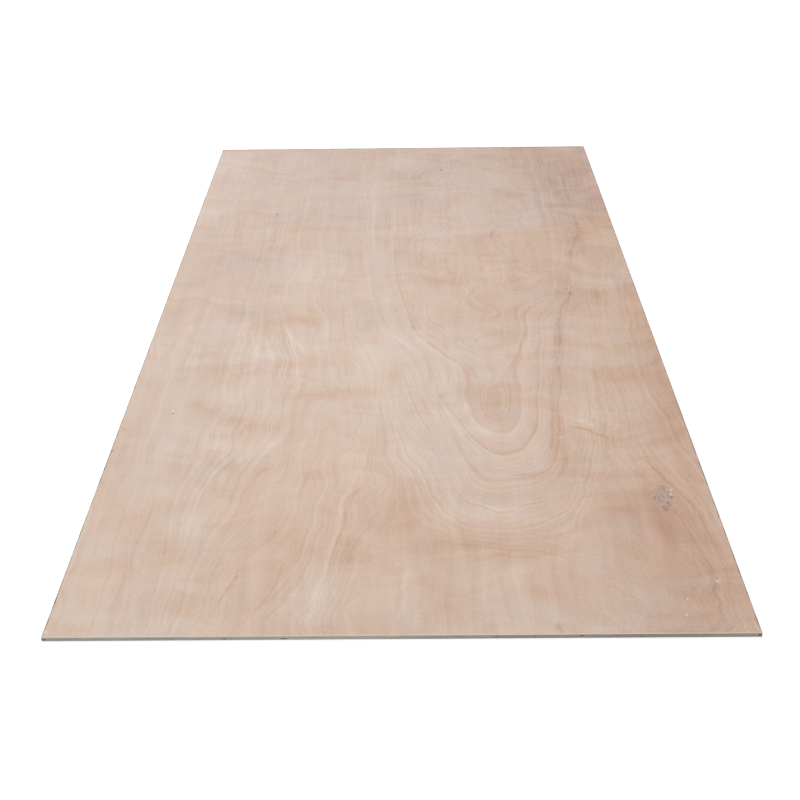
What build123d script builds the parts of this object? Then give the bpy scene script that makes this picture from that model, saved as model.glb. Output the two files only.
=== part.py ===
from build123d import *
import os

# Plywood sheet: rotary-cut veneers glued in one press, so it is one solid stock piece.
# Millimetres, +Z up, with the origin at the middle of the underside. The length and the
# grain of both faces run along Y. The end at -Y is the near one, and left is towards -X.

# Sheet, sawn to its standard size
SHEET_LENGTH = 2440.0
SHEET_WIDTH = 1220.0
ARRIS_BREAK = 0.15  # flat rubbed onto the sharp sawn corners

# Lay-up: a thin veneer on each face, and an odd number of thicker core veneers between them
FACE_VENEER = 0.3
CORE_VENEER = 1.38
CORE_COUNT = 5
GLUE_FILM = 0.06  # what is left of a core veneer above and below a gap in it
SHEET_THICKNESS = 2 * FACE_VENEER + CORE_COUNT * CORE_VENEER

# Core gaps: where two strips of a core veneer don't meet, or a knot fell out of one, the
# sawn edge opens into a pocket that narrows inwards. Veneer 1 is the one under the top face.
POCKET_TAPER = 0.55  # width of a pocket's inner end as a share of its mouth
POCKET_ROUND = 0.35  # radius of the inner corners as a share of the inner end

# Each gap: core veneer, distance from the left corner (or the near one), mouth, depth
NEAR_END_GAPS = [
    (3, 5.2, 8.0, 26.0),
    (4, 311.0, 4.0, 45.0),
    (4, 412.0, 9.5, 90.0),
    (3, 772.0, 5.0, 30.0),
    (2, 837.0, 3.0, 22.0),
    (2, 916.0, 4.0, 60.0),
    (5, 1016.0, 4.5, 24.0),
    (2, SHEET_WIDTH - 3.4, 4.5, 18.0),
    (4, SHEET_WIDTH - 3.8, 5.2, 30.0),
]
FAR_END_GAPS = [
    (2, 188.0, 5.0, 70.0),
    (4, 495.0, 3.5, 40.0),
    (2, 742.0, 8.0, 55.0),
    (4, 1064.0, 4.0, 35.0),
]
LEFT_SIDE_GAPS = [
    (1, 402.0, 6.0, 48.0),
    (3, 918.0, 4.0, 80.0),
    (5, 1297.0, 9.0, 36.0),
    (1, 1731.0, 3.5, 60.0),
    (3, 2185.0, 5.0, 28.0),
]
RIGHT_SIDE_GAPS = [
    (5, 266.0, 4.5, 52.0),
    (1, 791.0, 7.0, 33.0),
    (3, 1244.0, 3.5, 66.0),
    (5, 1623.0, 5.5, 42.0),
    (1, 2070.0, 4.0, 75.0),
]


def blank():
    """The sawn sheet, with all its corners rubbed a little."""
    seat = (Align.CENTER, Align.CENTER, Align.MIN)
    sheet = Box(SHEET_WIDTH, SHEET_LENGTH, SHEET_THICKNESS, align=seat)
    return chamfer(sheet.edges(), ARRIS_BREAK)


def pocket(veneer, mouth, depth):
    """A cutter for one gap: its mouth at the XZ plane, it narrows along +Y, at its height."""
    inner = mouth * POCKET_TAPER
    corners = [
        (-mouth / 2, -mouth),
        (mouth / 2, -mouth),
        (mouth / 2, 0),
        (inner / 2, depth),
        (-inner / 2, depth),
        (-mouth / 2, 0),
    ]
    plan = Polygon(*corners, align=None)
    plan = fillet(plan.vertices().group_by(Axis.Y)[-1], inner * POCKET_ROUND)
    veneer_top = SHEET_THICKNESS - FACE_VENEER - (veneer - 1) * CORE_VENEER
    height = CORE_VENEER - 2 * GLUE_FILM
    return Pos(0, 0, veneer_top - GLUE_FILM - height) * extrude(plan, height)


def end_pockets(gaps, edge_y, turn):
    """The pockets along one short end, which face into the sheet after the turn."""
    for veneer, from_left, mouth, depth in gaps:
        place = Pos(from_left - SHEET_WIDTH / 2, edge_y, 0) * Rot(0, 0, turn)
        yield place * pocket(veneer, mouth, depth)


def side_pockets(gaps, edge_x, turn):
    """The pockets along one long side, which face into the sheet after the turn."""
    for veneer, from_near, mouth, depth in gaps:
        place = Pos(edge_x, from_near - SHEET_LENGTH / 2, 0) * Rot(0, 0, turn)
        yield place * pocket(veneer, mouth, depth)


def plywood_sheet():
    """The sheet with the core gaps opened along its four sawn edges."""
    sheet = blank()
    sheet -= list(end_pockets(NEAR_END_GAPS, -SHEET_LENGTH / 2, 0))
    sheet -= list(end_pockets(FAR_END_GAPS, SHEET_LENGTH / 2, 180))
    sheet -= list(side_pockets(LEFT_SIDE_GAPS, -SHEET_WIDTH / 2, -90))
    sheet -= list(side_pockets(RIGHT_SIDE_GAPS, SHEET_WIDTH / 2, 90))
    return sheet


os.makedirs("parts", exist_ok=True)
export_step(plywood_sheet(), "parts/plywood_sheet.step")
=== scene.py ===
import math

import bpy
import bmesh
import numpy as np
from mathutils import Matrix, Vector, noise


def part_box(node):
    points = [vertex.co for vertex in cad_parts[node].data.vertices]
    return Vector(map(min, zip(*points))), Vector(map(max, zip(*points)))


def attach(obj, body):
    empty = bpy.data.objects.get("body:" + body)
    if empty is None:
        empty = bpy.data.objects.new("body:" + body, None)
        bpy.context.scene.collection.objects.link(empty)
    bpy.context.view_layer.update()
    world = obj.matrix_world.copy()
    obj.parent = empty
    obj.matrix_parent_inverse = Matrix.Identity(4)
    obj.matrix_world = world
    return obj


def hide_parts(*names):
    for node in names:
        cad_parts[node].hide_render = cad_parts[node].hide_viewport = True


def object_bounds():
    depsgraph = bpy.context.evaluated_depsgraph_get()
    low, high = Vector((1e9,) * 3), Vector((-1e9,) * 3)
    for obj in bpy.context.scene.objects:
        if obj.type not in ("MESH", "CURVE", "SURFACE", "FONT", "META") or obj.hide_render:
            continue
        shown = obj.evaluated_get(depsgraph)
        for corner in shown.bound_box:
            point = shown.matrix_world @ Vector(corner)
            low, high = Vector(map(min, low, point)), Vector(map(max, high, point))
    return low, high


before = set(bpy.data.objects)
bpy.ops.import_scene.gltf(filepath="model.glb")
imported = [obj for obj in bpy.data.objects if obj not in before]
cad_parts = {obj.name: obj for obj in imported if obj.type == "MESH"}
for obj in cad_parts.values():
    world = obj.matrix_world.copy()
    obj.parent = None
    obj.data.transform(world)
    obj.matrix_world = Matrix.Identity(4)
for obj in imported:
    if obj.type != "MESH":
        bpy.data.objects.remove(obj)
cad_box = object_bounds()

# Camera. A person stands at the near end of the sheet, a little to the right of its middle, and
# looks down along it. The focal length, place and turns come from the four corners of the sheet
# in the photograph.
PHOTO_WIDTH_PX = 800
FOCAL_LENGTH_PX = 1236
EYE = Vector((0.021, -2.809, 1.4205))
LOOKS_DOWN = math.radians(30.85)
LOOKS_LEFT = math.radians(0.61)
LEANS = math.radians(-0.78)

camera_data = bpy.data.cameras.new("camera")
camera_data.sensor_fit = "HORIZONTAL"
camera_data.lens = camera_data.sensor_width * FOCAL_LENGTH_PX / PHOTO_WIDTH_PX
camera = bpy.data.objects.new("camera", camera_data)
bpy.context.scene.collection.objects.link(camera)
camera.matrix_world = (
    Matrix.Translation(EYE)
    @ Matrix.Rotation(LOOKS_LEFT, 4, "Z")
    @ Matrix.Rotation(math.pi / 2 - LOOKS_DOWN, 4, "X")
    @ Matrix.Rotation(LEANS, 4, "Z")
)
bpy.context.scene.camera = camera
bpy.context.scene.view_settings.view_transform = "Standard"

# Studio floor and lamps. The floor and the room are plain and pale, and the camera sees them as
# white, apart from the thin shadow under the sheet's edge. One large soft box hangs over the
# sheet and a pale room light fills in, so a colour renders about as it is written.
FLOOR_SIZE = 30.0
FLOOR_GREY = 0.8
FLOOR_BELOW = 0.0002  # how far under the sheet it lies
NEAR_GLOW, FAR_GLOW = 0.45, 0.64  # what the camera sees on top of the floor's own light
GLOW_RISES = (2.0, 7.0)  # how far from the sheet's middle the glow starts to rise, and stops
ROOM_LIGHT = 0.45
LAMP_WATTS, LAMP_SIZE, LAMP_PLACE = 127.0, 5.0, (-0.8, 0.4, 4.0)


class Value:
    """One socket in a material. Python's operators on it add Math nodes."""

    def __init__(self, paint, socket):
        self.paint, self.socket = paint, socket

    def math(self, operation, *others):
        return self.paint.sum_of(operation, self, *others)

    def __add__(self, other):
        return self.math("ADD", other)

    __radd__ = __add__

    def __sub__(self, other):
        return self.math("SUBTRACT", other)

    def __rsub__(self, other):
        return self.paint.sum_of("SUBTRACT", other, self)

    def __mul__(self, other):
        return self.math("MULTIPLY", other)

    __rmul__ = __mul__

    def __truediv__(self, other):
        return self.math("DIVIDE", other)

    def ramp(self, start, end):
        """Goes smoothly from 0 at start to 1 at end, whichever of them is larger."""
        settings = {"interpolation_type": "SMOOTHSTEP"}
        sockets = {"Value": self, "From Min": start, "From Max": end}
        return self.paint.node("ShaderNodeMapRange", settings, sockets)


class Paint:
    """One material, or the room around, and the means to add nodes to it."""

    def __init__(self, painted, shader="Principled BSDF"):
        self.painted = painted
        painted.use_nodes = True
        self.tree = painted.node_tree
        self.shader = self.tree.nodes[shader]

    def node(self, kind, settings=None, sockets=None, output=0):
        """Adds a node: its settings first, then the values or links of its sockets."""
        made = self.tree.nodes.new(kind)
        for name, setting in (settings or {}).items():
            if name == "stops":
                self.set_stops(made.color_ramp, setting)
            else:
                setattr(made, name, setting)
        for name, given in (sockets or {}).items():
            self.feed(made.inputs[name], given)
        if isinstance(output, tuple):
            return [Value(self, made.outputs[each]) for each in output]
        return Value(self, made.outputs[output])

    def set_stops(self, ramp, stops):
        while len(ramp.elements) < len(stops):
            ramp.elements.new(1.0)
        for element, (position, colour) in zip(ramp.elements, stops):
            element.position, element.color = position, colour

    def feed(self, socket, given):
        if isinstance(given, Value):
            self.tree.links.new(given.socket, socket)
        else:
            socket.default_value = given

    def sum_of(self, operation, *terms):
        return self.node("ShaderNodeMath", {"operation": operation}, dict(enumerate(terms)))

    def in_view(self):
        """1 where the camera sees a surface straight, in a mirror or through glass."""
        rays = ("Is Camera Ray", "Is Glossy Ray", "Is Transmission Ray")
        seen, mirrored, through = self.node("ShaderNodeLightPath", output=rays)
        return seen + mirrored + through


def linear(red, green, blue):
    """A colour seen on a screen, from 0 to 255, as the light that it stands for."""
    light = [((c / 255 + 0.055) / 1.055) ** 2.4 for c in (red, green, blue)]
    return (*light, 1.0)


bpy.ops.object.select_all(action="DESELECT")
bpy.ops.mesh.primitive_plane_add(size=FLOOR_SIZE, location=(0, 0, cad_box[0][2] - FLOOR_BELOW))
floor = bpy.context.object
floor.name = "floor"
floor_paint = Paint(bpy.data.materials.new("floor_white"))
floor_paint.shader.inputs["Specular IOR Level"].default_value = 0.0
floor_paint.shader.inputs["Roughness"].default_value = 1.0
floor_paint.shader.inputs["Base Color"].default_value = (FLOOR_GREY, FLOOR_GREY, FLOOR_GREY, 1)
floor_paint.shader.inputs["Emission Color"].default_value = (1, 1, 1, 1)
here = floor_paint.node("ShaderNodeTexCoord", output="Object")
away = floor_paint.node("ShaderNodeVectorMath", {"operation": "LENGTH"}, {0: here}, "Value")
glow = (away.ramp(*GLOW_RISES) * (FAR_GLOW - NEAR_GLOW) + NEAR_GLOW) * floor_paint.in_view()
floor_paint.feed(floor_paint.shader.inputs["Emission Strength"], glow)
floor.data.materials.append(floor_paint.painted)

room = Paint(bpy.data.worlds.new("room"), "Background")
bpy.context.scene.world = room.painted
room.shader.inputs["Color"].default_value = (1, 1, 1, 1)
room_light = room.in_view() * (1 - ROOM_LIGHT) + ROOM_LIGHT
room.feed(room.shader.inputs["Strength"], room_light)

light = bpy.data.lights.new("soft_box", "AREA")
light.shape = "SQUARE"
light.size = LAMP_SIZE
light.energy = LAMP_WATTS
lamp = bpy.data.objects.new("soft_box", light)
bpy.context.scene.collection.objects.link(lamp)
lamp.location = LAMP_PLACE
lamp.rotation_euler = (-lamp.location).to_track_quat("-Z", "Y").to_euler()

# Sheet, the sawn blank. Rotary-cut veneers are glued with their grain crossed in turn, pressed,
# and sawn square: a thin veneer on each face and five thicker core veneers between them.
low, high = (Vector(corner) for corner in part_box("plywood_sheet"))
WIDTH, LENGTH, THICKNESS = high - low
FACE_VENEER = 0.0003
CORE_COUNT = 5
CORE_VENEER = (THICKNESS - 2 * FACE_VENEER) / CORE_COUNT
GLUE_FILM = 0.00006  # half of a glue line
CELLS_ACROSS, CELLS_ALONG = 100, 200
EDGE_CUTS = 3  # cuts in each border cell, which makes the columns along an edge 3 mm wide
ARRIS = 0.0005  # width of the rubbed border round each face

bpy.ops.object.select_all(action="DESELECT")
bpy.ops.mesh.primitive_grid_add(
    x_subdivisions=CELLS_ACROSS,
    y_subdivisions=CELLS_ALONG,
    size=1,
    calc_uvs=False,
    location=(0, 0, 0),
)
sheet = bpy.context.object
sheet.name = "plywood"
bpy.ops.object.mode_set(mode="EDIT")
bpy.ops.mesh.select_mode(type="EDGE")
bpy.ops.mesh.select_all(action="SELECT")
bpy.ops.transform.resize(value=(WIDTH, LENGTH, 1))
bpy.ops.transform.translate(value=(0, 0, low.z))
bpy.ops.mesh.region_to_loop()
bpy.ops.mesh.subdivide(number_cuts=EDGE_CUTS)
bpy.ops.mesh.select_all(action="SELECT")
bpy.ops.mesh.extrude_region_move(TRANSFORM_OT_translate={"value": (0, 0, THICKNESS)})
bpy.ops.mesh.select_all(action="SELECT")
bpy.ops.mesh.normals_make_consistent(inside=False)

# The middle height of each glue line, from the bottom up
glue_lines = [low.z + FACE_VENEER + line * CORE_VENEER for line in range(CORE_COUNT + 1)]
for glue_line in glue_lines:
    for side in (-GLUE_FILM, GLUE_FILM):
        bpy.ops.mesh.select_all(action="SELECT")
        bpy.ops.mesh.bisect(plane_co=(0, 0, glue_line + side), plane_no=(0, 0, 1))


def select_faces(wanted):
    """Leaves selected only the faces for which wanted, given a face, says yes."""
    bpy.ops.mesh.select_mode(type="FACE")
    bpy.ops.mesh.select_all(action="DESELECT")
    mesh = bmesh.from_edit_mesh(sheet.data)
    for face in mesh.faces:
        face.select_set(bool(wanted(face)))
    bmesh.update_edit_mesh(sheet.data)


for up in (1, -1):
    select_faces(lambda face: face.normal.z * up > 0.9)
    bpy.ops.mesh.inset(thickness=ARRIS)

# Knot in the top veneer. A small dead knot near the right side at the near end, a little sunk,
# with a short crack at its far end. The cells round it are divided to carry its relief.
KNOT = (0.515, -0.828)
KNOT_REACH = (0.021, 0.047)  # half its width and half its length
KNOT_CUTS, CUTS_REACH = 3, 1.3  # cuts in each cell, out to 1.3 times the knot's size
KNOT_SINK, SINK_REACH = 0.0003, 1.2
CRACK = ((0.5175, -0.7835), (0.5225, -0.7985))
CRACK_REACH = 0.0035
CRACK_SINK = 0.0006


def at_knot(place):
    """How far out from the middle of the knot a place is, where 1 is its outline."""
    return np.hypot(*[(place[axis] - KNOT[axis]) / KNOT_REACH[axis] for axis in (0, 1)])


select_faces(lambda face: face.normal.z > 0.9 and at_knot(face.calc_center_median()) < CUTS_REACH)
bpy.ops.mesh.subdivide(number_cuts=KNOT_CUTS)
bpy.ops.object.mode_set(mode="OBJECT")

# Core gaps. Where two strips of a core veneer don't meet, or a knot fell out of one, the sawn
# edge opens into a pocket in that veneer. It narrows inwards. Veneer 1 is under the top face.
# Each gap: veneer, distance from the left corner (or the near one), mouth and depth in metres.
NEAR_END_GAPS = [
    (3, 0.0052, 0.0080, 0.026),
    (4, 0.3110, 0.0040, 0.045),
    (4, 0.4120, 0.0095, 0.090),
    (3, 0.7720, 0.0050, 0.030),
    (2, 0.8370, 0.0030, 0.022),
    (2, 0.9160, 0.0040, 0.060),
    (5, 1.0160, 0.0045, 0.024),
    (2, 1.2166, 0.0045, 0.018),
    (4, 1.2162, 0.0052, 0.030),
]
FAR_END_GAPS = [
    (2, 0.1880, 0.0050, 0.070),
    (4, 0.4950, 0.0035, 0.040),
    (2, 0.7420, 0.0080, 0.055),
    (4, 1.0640, 0.0040, 0.035),
]
LEFT_SIDE_GAPS = [
    (1, 0.4020, 0.0060, 0.048),
    (3, 0.9180, 0.0040, 0.080),
    (5, 1.2970, 0.0090, 0.036),
    (1, 1.7310, 0.0035, 0.060),
    (3, 2.1850, 0.0050, 0.028),
]
RIGHT_SIDE_GAPS = [
    (5, 0.2660, 0.0045, 0.052),
    (1, 0.7910, 0.0070, 0.033),
    (3, 1.2440, 0.0035, 0.066),
    (5, 1.6230, 0.0055, 0.042),
    (1, 2.0700, 0.0040, 0.075),
]
GAP_TAPER = 0.55  # width of a pocket's inner end as a share of its mouth
TOUCHING = 1e-5  # places nearer to each other than this are the same place
# An edge: the axis across it, the side it is on, and its gaps
EDGES = [(1, low.y, NEAR_END_GAPS), (1, high.y, FAR_END_GAPS),
         (0, low.x, LEFT_SIDE_GAPS), (0, high.x, RIGHT_SIDE_GAPS)]
COLUMN = {0: LENGTH / CELLS_ALONG / (EDGE_CUTS + 1), 1: WIDTH / CELLS_ACROSS / (EDGE_CUTS + 1)}


def mouth_of(across, gap):
    """A gap's mouth: its two sides along the edge, and its bottom and top."""
    veneer, start, mouth, _ = gap
    middle = low[1 - across] + start
    below = glue_lines[CORE_COUNT - veneer]
    bottom, top = below + GLUE_FILM, below + CORE_VENEER - GLUE_FILM
    return middle - mouth / 2, middle + mouth / 2, bottom, top


def read_points():
    points = np.empty(len(sheet.data.vertices) * 3)
    sheet.data.vertices.foreach_get("co", points)
    return points.reshape(-1, 3)


def write_points(points):
    sheet.data.vertices.foreach_set("co", points.ravel())
    sheet.data.update()


# The two columns of points nearest to a mouth's sides slide to them
was = read_points()
points = was.copy()
for across, side, gaps in EDGES:
    along = 1 - across
    for gap in gaps:
        left, right, bottom, top = mouth_of(across, gap)
        first = max(1, round((left - low[along]) / COLUMN[across]))
        last = max(first + 1, round((right - low[along]) / COLUMN[across]))
        at_mouth = abs(was[:, across] - side) < TOUCHING
        at_mouth &= (was[:, 2] > bottom - TOUCHING) & (was[:, 2] < top + TOUCHING)
        for column, now in ((first, left), (last, right)):
            in_column = abs(was[:, along] - low[along] - column * COLUMN[across]) < TOUCHING
            points[at_mouth & in_column, along] = now

# The saw leaves each veneer's end standing back a little differently, with small tear-outs.
# The corners of the edge are rubbed, and the face is chipped in a few places along its border.
SAW_DEPTH, SAW_OFTEN = 0.00008, 90  # how deep, and how often it changes in a metre of edge
TEAR_DEPTH, TEAR_OFTEN = 0.00035, 28
TEARS_FROM, CROSS_GRAIN_TEARS = 0.45, 0.15  # how rare tears are, and how much less so across fibres
RUBBED, RUBBED_OFTEN = 0.00012, 40
# Each chip: the axis across the edge, the side, where along it, half its length, bite and drop
CHIPS = [
    (0, low.x, -0.6426, 0.0070, 0.0028, 0.00026),
    (0, low.x, -1.2046, 0.0050, 0.0022, 0.00020),
    (1, low.y, -0.5320, 0.0060, 0.0012, 0.00015),
    (1, low.y, 0.2681, 0.0050, 0.0016, 0.00020),
    (0, high.x, 0.3350, 0.0060, 0.0015, 0.00020),
    (1, high.y, -0.2100, 0.0050, 0.0018, 0.00020),
]
for across, side, _ in EDGES:
    outwards = math.copysign(1, side)
    for index in np.flatnonzero(abs(was[:, across] - side) < TOUCHING):
        along, height = was[index, 1 - across], was[index, 2]
        level = int(np.searchsorted(glue_lines, height))
        cross_grain = (level + across) % 2
        ragged = noise.noise((along * SAW_OFTEN, level * 7.3, side * 5))
        torn = noise.noise((along * TEAR_OFTEN, level * 3.1 + 40, side * 9)) - TEARS_FROM
        torn = max(torn + CROSS_GRAIN_TEARS * cross_grain, 0)
        back = SAW_DEPTH * (0.6 + ragged) + TEAR_DEPTH * min(torn * 6, 1)
        points[index, across] -= outwards * max(back, 0)
        rubbed = RUBBED * (1.0 + 0.7 * noise.noise((along * RUBBED_OFTEN, side * 3, 2.0)))
        if height > high.z - TOUCHING:
            points[index, 2] -= rubbed
        elif height < low.z + TOUCHING:
            points[index, 2] += rubbed
for across, side, where, half, bite, drop in CHIPS:
    share = np.clip(1 - ((was[:, 1 - across] - where) / half) ** 2, 0, 1)
    share *= abs(was[:, across] - side) < ARRIS + TOUCHING
    share *= was[:, 2] > high.z - TOUCHING
    points[:, across] -= math.copysign(1, side) * bite * share
    points[:, 2] -= drop * share

# The knot's sink and its crack
on_top = points[:, 2] > high.z - TOUCHING
points[on_top, 2] -= KNOT_SINK * np.clip(SINK_REACH - at_knot(was[on_top].T), 0, 1)
crack_start, crack_end = (np.array(end) for end in CRACK)
crack_line = crack_end - crack_start
share = np.clip((was[:, :2] - crack_start) @ crack_line / (crack_line @ crack_line), 0, 1)
off_crack = np.hypot(*(was[:, :2] - crack_start - share[:, None] * crack_line).T)
points[on_top, 2] -= CRACK_SINK * np.clip(1 - off_crack[on_top] / CRACK_REACH, 0, 1)
write_points(points)

bpy.ops.object.select_all(action="DESELECT")
sheet.select_set(True)
bpy.context.view_layer.objects.active = sheet
bpy.ops.object.mode_set(mode="EDIT")
for across, side, gaps in EDGES:
    inwards = Vector((0, 0, 0))
    inwards[across] = -math.copysign(1, side)
    for gap in gaps:
        left, right, bottom, top = mouth_of(across, gap)

        def in_mouth(face):
            middle = face.calc_center_median()
            return (
                face.normal.dot(inwards) < -0.6
                and abs(middle[across] - side) < 0.001
                and bottom < middle.z < top
                and left < middle[1 - across] < right
            )

        select_faces(in_mouth)
        bpy.ops.mesh.extrude_region_move(TRANSFORM_OT_translate={"value": inwards * gap[-1]})
        narrower = Vector((1, 1, 1))
        narrower[1 - across] = GAP_TAPER
        middle = Vector((0, 0, (bottom + top) / 2))
        middle[across] = side
        middle[1 - across] = (left + right) / 2
        bpy.ops.transform.resize(value=narrower, center_override=middle)
bpy.ops.object.mode_set(mode="OBJECT")

# Figure of the face veneers. The knife peels round the log, so the growth rings come out as
# long lines that bend round where the log swelled. Each ring below is a depth in the log and
# the line that it makes on the top face, in metres from the middle of the sheet.
RINGS = [
    (-0.60, [(-0.60, 1.22), (-0.60, 0.4), (-0.60, -0.4), (-0.60, -1.22)]),
    (-0.50, [(-0.50, 1.22), (-0.50, 0.5), (-0.52, -0.1), (-0.53, -0.6), (-0.52, -0.9),
             (-0.51, -1.22)]),
    (-0.42, [(-0.42, 1.22), (-0.42, 0.5), (-0.43, 0.0), (-0.45, -0.3), (-0.455, -0.6),
             (-0.47, -0.8), (-0.465, -0.95), (-0.455, -1.05), (-0.45, -1.22)]),
    (-0.34, [(-0.34, 1.22), (-0.34, 0.5), (-0.36, 0.0), (-0.35, -0.2), (-0.335, -0.35),
             (-0.33, -0.5), (-0.345, -0.66), (-0.38, -0.73), (-0.395, -0.80), (-0.40, -0.88),
             (-0.41, -1.0), (-0.42, -1.22)]),
    (-0.28, [(-0.28, 1.22), (-0.28, 0.4), (-0.285, 0.0), (-0.27, -0.1), (-0.235, -0.21),
             (-0.225, -0.35), (-0.235, -0.5), (-0.245, -0.66), (-0.285, -0.72), (-0.31, -0.77),
             (-0.32, -0.84), (-0.34, -0.94), (-0.36, -1.05), (-0.385, -1.22)]),
    (-0.255, [(-0.215, -0.6), (-0.205, -0.72), (-0.208, -0.83), (-0.225, -0.90),
              (-0.25, -0.95), (-0.29, -1.015), (-0.305, -1.07), (-0.32, -1.14),
              (-0.34, -1.22)]),
    (-0.24, [(-0.235, 0.6), (-0.22, 0.0), (-0.18, -0.2), (-0.165, -0.4), (-0.16, -0.6),
             (-0.155, -0.75), (-0.162, -0.87), (-0.182, -0.94), (-0.194, -1.03),
             (-0.214, -1.10), (-0.258, -1.165), (-0.30, -1.215)]),
    (-0.22, [(-0.21, 1.22), (-0.21, 0.5), (-0.19, 0.1), (-0.15, -0.1), (-0.13, -0.25),
             (-0.10, -0.4), (-0.07, -0.55), (-0.065, -0.68), (-0.09, -0.75), (-0.114, -0.82),
             (-0.122, -0.9), (-0.138, -1.0), (-0.143, -1.12), (-0.17, -1.22)]),
    (-0.20, [(-0.02, -0.8), (-0.045, -0.9), (-0.06, -1.0), (-0.08, -1.1), (-0.1, -1.22)]),
    (-0.16, [(-0.16, 1.22), (-0.16, 0.5), (-0.14, 0.2), (-0.11, 0.0), (-0.075, -0.12),
             (-0.045, -0.21), (-0.02, -0.32), (-0.01, -0.45), (0.012, -0.56), (0.033, -0.60),
             (0.06, -0.66), (0.08, -0.72), (0.095, -0.78), (0.115, -0.84), (0.16, -0.87),
             (0.25, -0.86), (0.33, -0.80), (0.365, -0.68), (0.385, -0.5), (0.40, -0.35),
             (0.42, -0.2), (0.44, -0.05), (0.46, 0.1), (0.48, 0.25), (0.515, 0.45),
             (0.54, 0.7), (0.54, 1.0), (0.53, 1.22)]),
    (-0.10, [(-0.105, 1.22), (-0.11, 0.9), (-0.10, 0.7), (-0.09, 0.45), (-0.08, 0.25),
             (-0.065, 0.08), (-0.045, -0.06), (-0.02, -0.146), (0.005, -0.20), (0.03, -0.27),
             (0.045, -0.34), (0.06, -0.41), (0.08, -0.49), (0.10, -0.56), (0.12, -0.64),
             (0.135, -0.70), (0.155, -0.745), (0.19, -0.765), (0.23, -0.76), (0.27, -0.745),
             (0.305, -0.715), (0.325, -0.65), (0.337, -0.57), (0.345, -0.48), (0.36, -0.38),
             (0.375, -0.27), (0.39, -0.15), (0.405, -0.05), (0.425, 0.05), (0.445, 0.15),
             (0.455, 0.27), (0.475, 0.4), (0.495, 0.5), (0.505, 0.6), (0.505, 0.9),
             (0.485, 1.22)]),
    (-0.04, [(-0.04, 1.22), (-0.04, 0.8), (-0.045, 0.5), (-0.04, 0.2), (-0.025, 0.03),
             (-0.005, -0.08), (0.025, -0.17), (0.05, -0.25), (0.065, -0.32), (0.08, -0.41),
             (0.10, -0.48), (0.12, -0.533), (0.14, -0.58), (0.16, -0.62), (0.18, -0.65),
             (0.213, -0.665), (0.253, -0.647), (0.273, -0.613), (0.287, -0.573),
             (0.295, -0.50), (0.305, -0.43), (0.315, -0.36), (0.32, -0.27), (0.335, -0.15),
             (0.35, -0.03), (0.39, 0.04), (0.41, 0.12), (0.42, 0.25), (0.44, 0.4),
             (0.45, 0.6), (0.45, 0.9), (0.44, 1.22)]),
    (0.0, [(-0.01, 1.22), (-0.02, 0.9), (-0.025, 0.5), (-0.02, 0.25), (-0.01, 0.12),
           (0.015, -0.015), (0.023, -0.077), (0.042, -0.138), (0.073, -0.192), (0.104, -0.235),
           (0.13, -0.275), (0.142, -0.33), (0.143, -0.40), (0.147, -0.467), (0.157, -0.533),
           (0.18, -0.573), (0.213, -0.587), (0.24, -0.575), (0.255, -0.53), (0.264, -0.45),
           (0.268, -0.37), (0.275, -0.27), (0.29, -0.20), (0.303, -0.10), (0.313, -0.01),
           (0.345, 0.025), (0.385, 0.08), (0.398, 0.15), (0.41, 0.25), (0.42, 0.5),
           (0.42, 0.8), (0.41, 1.22)]),
    (0.025, [(0.13, -0.235), (0.16, -0.28), (0.18, -0.333), (0.193, -0.38), (0.205, -0.395),
             (0.217, -0.36), (0.235, -0.315), (0.252, -0.26), (0.265, -0.21)]),
    (0.035, [(0.20, -0.15)]),
    (0.040, [(0.20, 0.20)]),
    (0.045, [(0.20, 0.60)]),
    (0.050, [(0.21, 1.00)]),
    (-0.22, [(0.60, -1.22), (0.592, -1.1), (0.584, -0.95), (0.564, -0.83), (0.53, -0.745),
             (0.505, -0.69), (0.49, -0.60), (0.49, -0.45), (0.482, -0.30), (0.478, -0.15),
             (0.49, 0.0), (0.51, 0.15), (0.53, 0.3), (0.555, 0.5), (0.58, 0.8), (0.58, 1.22)]),
    (-0.28, [(0.605, -0.80), (0.59, -0.73), (0.57, -0.65), (0.555, -0.55), (0.54, -0.42),
             (0.535, -0.3), (0.545, -0.1), (0.565, 0.1), (0.59, 0.3), (0.605, 0.5)]),
]
RING_STEP = 0.12  # a longer stretch between two points of a ring gets more between them
ALONG_GRAIN = 0.4  # how much less a place along the grain counts than one across it
RELAX = 2e-4  # how freely the figure may leave the points


def ring_points():
    """The depth and the place of each ring's points, with more along its long stretches."""
    for depth, line in RINGS:
        yield depth, line[0]
        for (x1, y1), (x2, y2) in zip(line, line[1:]):
            parts = math.ceil(math.hypot(x2 - x1, y2 - y1) / RING_STEP)
            for part in range(1, parts + 1):
                share = part / parts
                yield depth, (x1 + (x2 - x1) * share, y1 + (y2 - y1) * share)


def pull(places, others):
    """How much each place feels each of the others, as a thin plate bends."""
    square = ((places[:, None] - others[None]) ** 2).sum(2)
    return square * np.log(square + 1e-9)


def bent_plate(depths, knots):
    """The weights with which a thin plate passes through the depths at the knots."""
    flat = np.c_[np.ones(len(knots)), knots]
    stiff = pull(knots, knots) + RELAX * np.eye(len(knots))
    plate = np.block([[stiff, flat], [flat.T, np.zeros((3, 3))]])
    return np.linalg.solve(plate, np.r_[depths, 0, 0, 0])


depths, knots = (np.array(column) for column in zip(*ring_points()))
knots = knots * [1, ALONG_GRAIN]
weights = bent_plate(depths, knots)


def growth(places):
    """The depth in the log at places on the top face."""
    at = places * [1, ALONG_GRAIN]
    return np.c_[pull(at, knots), np.ones(len(at)), at] @ weights


def carry(name, values):
    """Stores one value for each point of the sheet, for its finishes to read."""
    field = sheet.data.attributes.new(name, "FLOAT", "POINT")
    field.data.foreach_set("value", values.astype(np.float32))


points = read_points()
on_back = points[:, 2] < (low.z + high.z) / 2
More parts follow.
